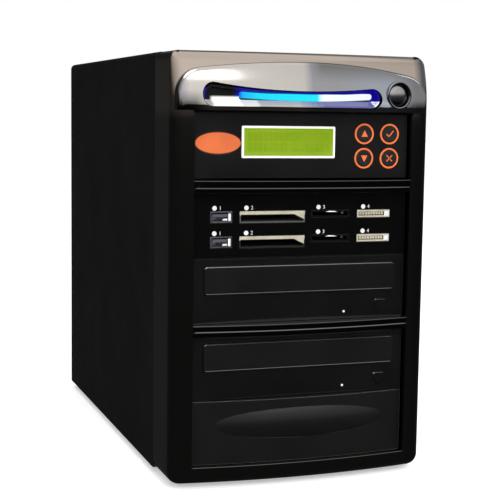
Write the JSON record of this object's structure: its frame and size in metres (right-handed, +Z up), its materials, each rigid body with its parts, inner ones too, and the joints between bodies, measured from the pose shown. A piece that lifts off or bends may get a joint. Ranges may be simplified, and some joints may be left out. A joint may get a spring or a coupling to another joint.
{
  "type": "disc duplicator tower",
  "caption": "Free-standing disc duplicator: steel tower case, bowed front with lit brow, display and keys, card reader, optical drives with sliding trays, blank cover and rear power supply.",
  "frame": {"origin": "middle of the footprint on the floor, under the middle of the bounding box", "axes": "+X to the right seen from the front, +Y to the back, +Z up; the bowed front faces -Y"},
  "size_m": [0.179, 0.3388, 0.282],
  "materials": {
    "case_steel": "satin black powder coat",
    "chassis_steel": "zinc-plated sheet",
    "bezel_plastic": "gloss gunmetal",
    "black_plastic": "fine texture",
    "dark_gloss": "gloss",
    "light_lens": "frosted, lit from behind",
    "board_green": "solder mask",
    "inner_plastic": "moulded",
    "key_black": "gloss",
    "orange_plastic": "gloss",
    "white_plastic": "satin",
    "display_green": "backlit",
    "bright_metal": "nickel plated",
    "cream_plastic": "moulded",
    "foot_rubber": "moulded",
    "screw_steel": "black zinc"
  },
  "bodies": {
    "tower": {"outer_cover": "case_steel", "base_pan": "chassis_steel", "rear_panel": "chassis_steel", "front_frame": "chassis_steel", "cage_left": "chassis_steel", "cage_right": "chassis_steel", "bay_brackets": "chassis_steel", "drive_1_case": "chassis_steel", "drive_2_case": "chassis_steel", "supply_case": "chassis_steel", "front_bezel": "bezel_plastic", "controller_panel": "black_plastic", "card_reader_panel": "black_plastic", "drive_1_faceplate": "black_plastic", "drive_2_faceplate": "black_plastic", "blank_cover": "black_plastic", "slot_liner": "dark_gloss", "light_bar": "light_lens", "light_board": "board_green", "key_board": "board_green", "controller_board": "board_green", "reader_boards": "board_green", "power_switch": "inner_plastic", "display_module": "inner_plastic", "port_tongues": "inner_plastic", "small_card_sockets": "inner_plastic", "drive_1_deck": "inner_plastic", "drive_2_deck": "inner_plastic", "mains_inlet": "inner_plastic", "fan_frames": "inner_plastic", "plain_badge": "orange_plastic", "key_rims": "orange_plastic", "display_frame": "white_plastic", "reader_lights": "white_plastic", "drive_lights": "white_plastic", "display_glass": "display_green", "port_shells": "bright_metal", "fan_guards": "bright_metal", "wide_card_sockets": "cream_plastic", "stick_card_sockets": "cream_plastic", "rubber_feet": "foot_rubber", "case_screws": "screw_steel", "drive_screws": "screw_steel", "fan_screws": "screw_steel"},
    "power_button": {"power_button": "dark_gloss"},
    "key_up": {"key_up": "key_black"},
    "key_down": {"key_down": "key_black"},
    "key_accept": {"key_accept": "key_black"},
    "key_cancel": {"key_cancel": "key_black"},
    "drive_1_tray": {"drive_1_tray": "inner_plastic", "drive_1_door": "black_plastic"},
    "drive_1_eject_button": {"drive_1_eject_button": "black_plastic"},
    "drive_1_hub": {"drive_1_hub": "inner_plastic"},
    "drive_2_tray": {"drive_2_tray": "inner_plastic", "drive_2_door": "black_plastic"},
    "drive_2_eject_button": {"drive_2_eject_button": "black_plastic"},
    "drive_2_hub": {"drive_2_hub": "inner_plastic"},
    "mains_rocker": {"mains_rocker": "inner_plastic"},
    "case_fan_rotor": {"case_fan_rotor": "inner_plastic"},
    "supply_fan_rotor": {"supply_fan_rotor": "inner_plastic"}
  },
  "joints": [
    {"name": "power_button_press", "type": "slide", "parent": "tower", "child": "power_button", "axis": [-0.1183, 0.993, 0], "range_m": [0, 0.002], "stiffness_N_per_m": 900},
    {"name": "key_up_press", "type": "slide", "parent": "tower", "child": "key_up", "axis": [0, 1, 0], "range_m": [0, 0.0008], "stiffness_N_per_m": 900},
    {"name": "key_down_press", "type": "slide", "parent": "tower", "child": "key_down", "axis": [0, 1, 0], "range_m": [0, 0.0008], "stiffness_N_per_m": 900},
    {"name": "key_accept_press", "type": "slide", "parent": "tower", "child": "key_accept", "axis": [0, 1, 0], "range_m": [0, 0.0008], "stiffness_N_per_m": 900},
    {"name": "key_cancel_press", "type": "slide", "parent": "tower", "child": "key_cancel", "axis": [0, 1, 0], "range_m": [0, 0.0008], "stiffness_N_per_m": 900},
    {"name": "drive_1_tray_slide", "type": "slide", "parent": "tower", "child": "drive_1_tray", "axis": [0, -1, 0], "range_m": [0, 0.135]},
    {"name": "drive_1_eject_press", "type": "slide", "parent": "tower", "child": "drive_1_eject_button", "axis": [0, 1, 0], "range_m": [0, 0.0012], "stiffness_N_per_m": 600},
    {"name": "drive_1_hub_spin", "type": "hinge", "parent": "tower", "child": "drive_1_hub", "pos_m": [0, -0.081, 0.1367], "axis": [0, 0, 1], "continuous": true},
    {"name": "drive_2_tray_slide", "type": "slide", "parent": "tower", "child": "drive_2_tray", "axis": [0, -1, 0], "range_m": [0, 0.135]},
    {"name": "drive_2_eject_press", "type": "slide", "parent": "tower", "child": "drive_2_eject_button", "axis": [0, 1, 0], "range_m": [0, 0.0012], "stiffness_N_per_m": 600},
    {"name": "drive_2_hub_spin", "type": "hinge", "parent": "tower", "child": "drive_2_hub", "pos_m": [0, -0.081, 0.0866], "axis": [0, 0, 1], "continuous": true},
    {"name": "mains_rocker_tip", "type": "hinge", "parent": "tower", "child": "mains_rocker", "pos_m": [0.046, 0.1615, 0.0685], "axis": [1, 0, 0], "range_deg": [-18, 0]},
    {"name": "case_fan_spin", "type": "hinge", "parent": "tower", "child": "case_fan_rotor", "pos_m": [0, 0.1535, 0.168], "axis": [0, 1, 0], "continuous": true},
    {"name": "supply_fan_spin", "type": "hinge", "parent": "tower", "child": "supply_fan_rotor", "pos_m": [-0.022, 0.1535, 0.0495], "axis": [0, 1, 0], "continuous": true}
  ]
}
